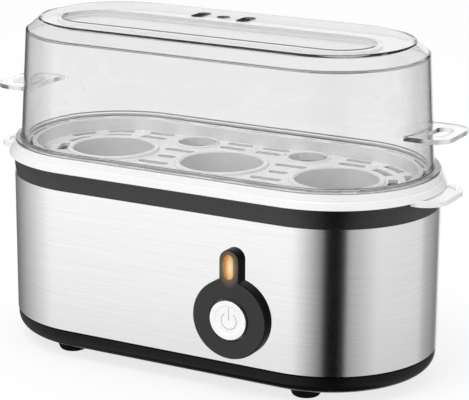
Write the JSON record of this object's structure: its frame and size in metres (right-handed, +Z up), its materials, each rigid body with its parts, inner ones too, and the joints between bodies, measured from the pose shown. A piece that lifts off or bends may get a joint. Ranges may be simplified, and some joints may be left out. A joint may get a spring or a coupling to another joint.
{
  "type": "egg cooker",
  "caption": "Long round-ended egg cooker: brushed steel jacket, black base and frame, white lift-out egg tray, clear lift-off lid with finger tabs, push button with amber indicator.",
  "frame": {"origin": "centre of the footprint on the surface that the feet stand on", "axes": "+X along the body to the right as seen from the front, +Y to the back, +Z up"},
  "size_m": [0.209, 0.1016, 0.138],
  "materials": {
    "foot_rubber": "matte",
    "black_moulding": "satin",
    "zinc_steel": "zinc plated",
    "brushed_jacket": "brushed along the length",
    "pan_steel": "spun satin",
    "silicone": "matte",
    "spreader_aluminium": "cast",
    "element_sheath": "oxidised sheath",
    "thermostat_body": "moulded phenolic",
    "fuse_case": "drawn",
    "bezel_black": "semi-gloss",
    "amber_lens": "translucent",
    "lamp_glass": "clear",
    "inner_plastic": "moulded",
    "white_plastic": "gloss",
    "clear_lid": "clear polycarbonate"
  },
  "bodies": {
    "housing": {"foot_front_left": "foot_rubber", "foot_front_right": "foot_rubber", "foot_rear_left": "foot_rubber", "foot_rear_right": "foot_rubber", "base_pan": "black_moulding", "base_screws": "zinc_steel", "steel_jacket": "brushed_jacket", "upper_frame": "black_moulding", "water_pan": "pan_steel", "pan_gasket": "silicone", "heat_spreader": "spreader_aluminium", "heating_element": "element_sheath", "element_pins": "zinc_steel", "pan_clamp_left": "zinc_steel", "pan_clamp_right": "zinc_steel", "clamp_studs": "zinc_steel", "clamp_nuts": "zinc_steel", "thermostat": "thermostat_body", "thermostat_screws": "zinc_steel", "thermal_fuse": "fuse_case", "fuse_clip": "zinc_steel", "control_bezel": "bezel_black", "indicator_lens": "amber_lens", "indicator_lamp": "lamp_glass", "switch_bracket": "inner_plastic", "bracket_screws": "zinc_steel", "switch_body": "inner_plastic", "cord_gland": "foot_rubber", "terminal_block": "inner_plastic", "terminal_block_screws": "zinc_steel"},
    "button": {"power_button": "white_plastic", "switch_plunger": "inner_plastic"},
    "tray": {"egg_tray": "white_plastic"},
    "lid": {"lid": "clear_lid"}
  },
  "joints": [
    {"name": "button_push", "type": "slide", "parent": "housing", "child": "button", "axis": [0, 1, 0], "range_m": [0, 0.0024], "stiffness_N_per_m": 600},
    {"name": "tray_lift", "type": "slide", "parent": "housing", "child": "tray", "axis": [0, 0, 1], "range_m": [0, 0.12]},
    {"name": "lid_lift", "type": "slide", "parent": "tray", "child": "lid", "axis": [0, 0, 1], "range_m": [0, 0.1]}
  ]
}
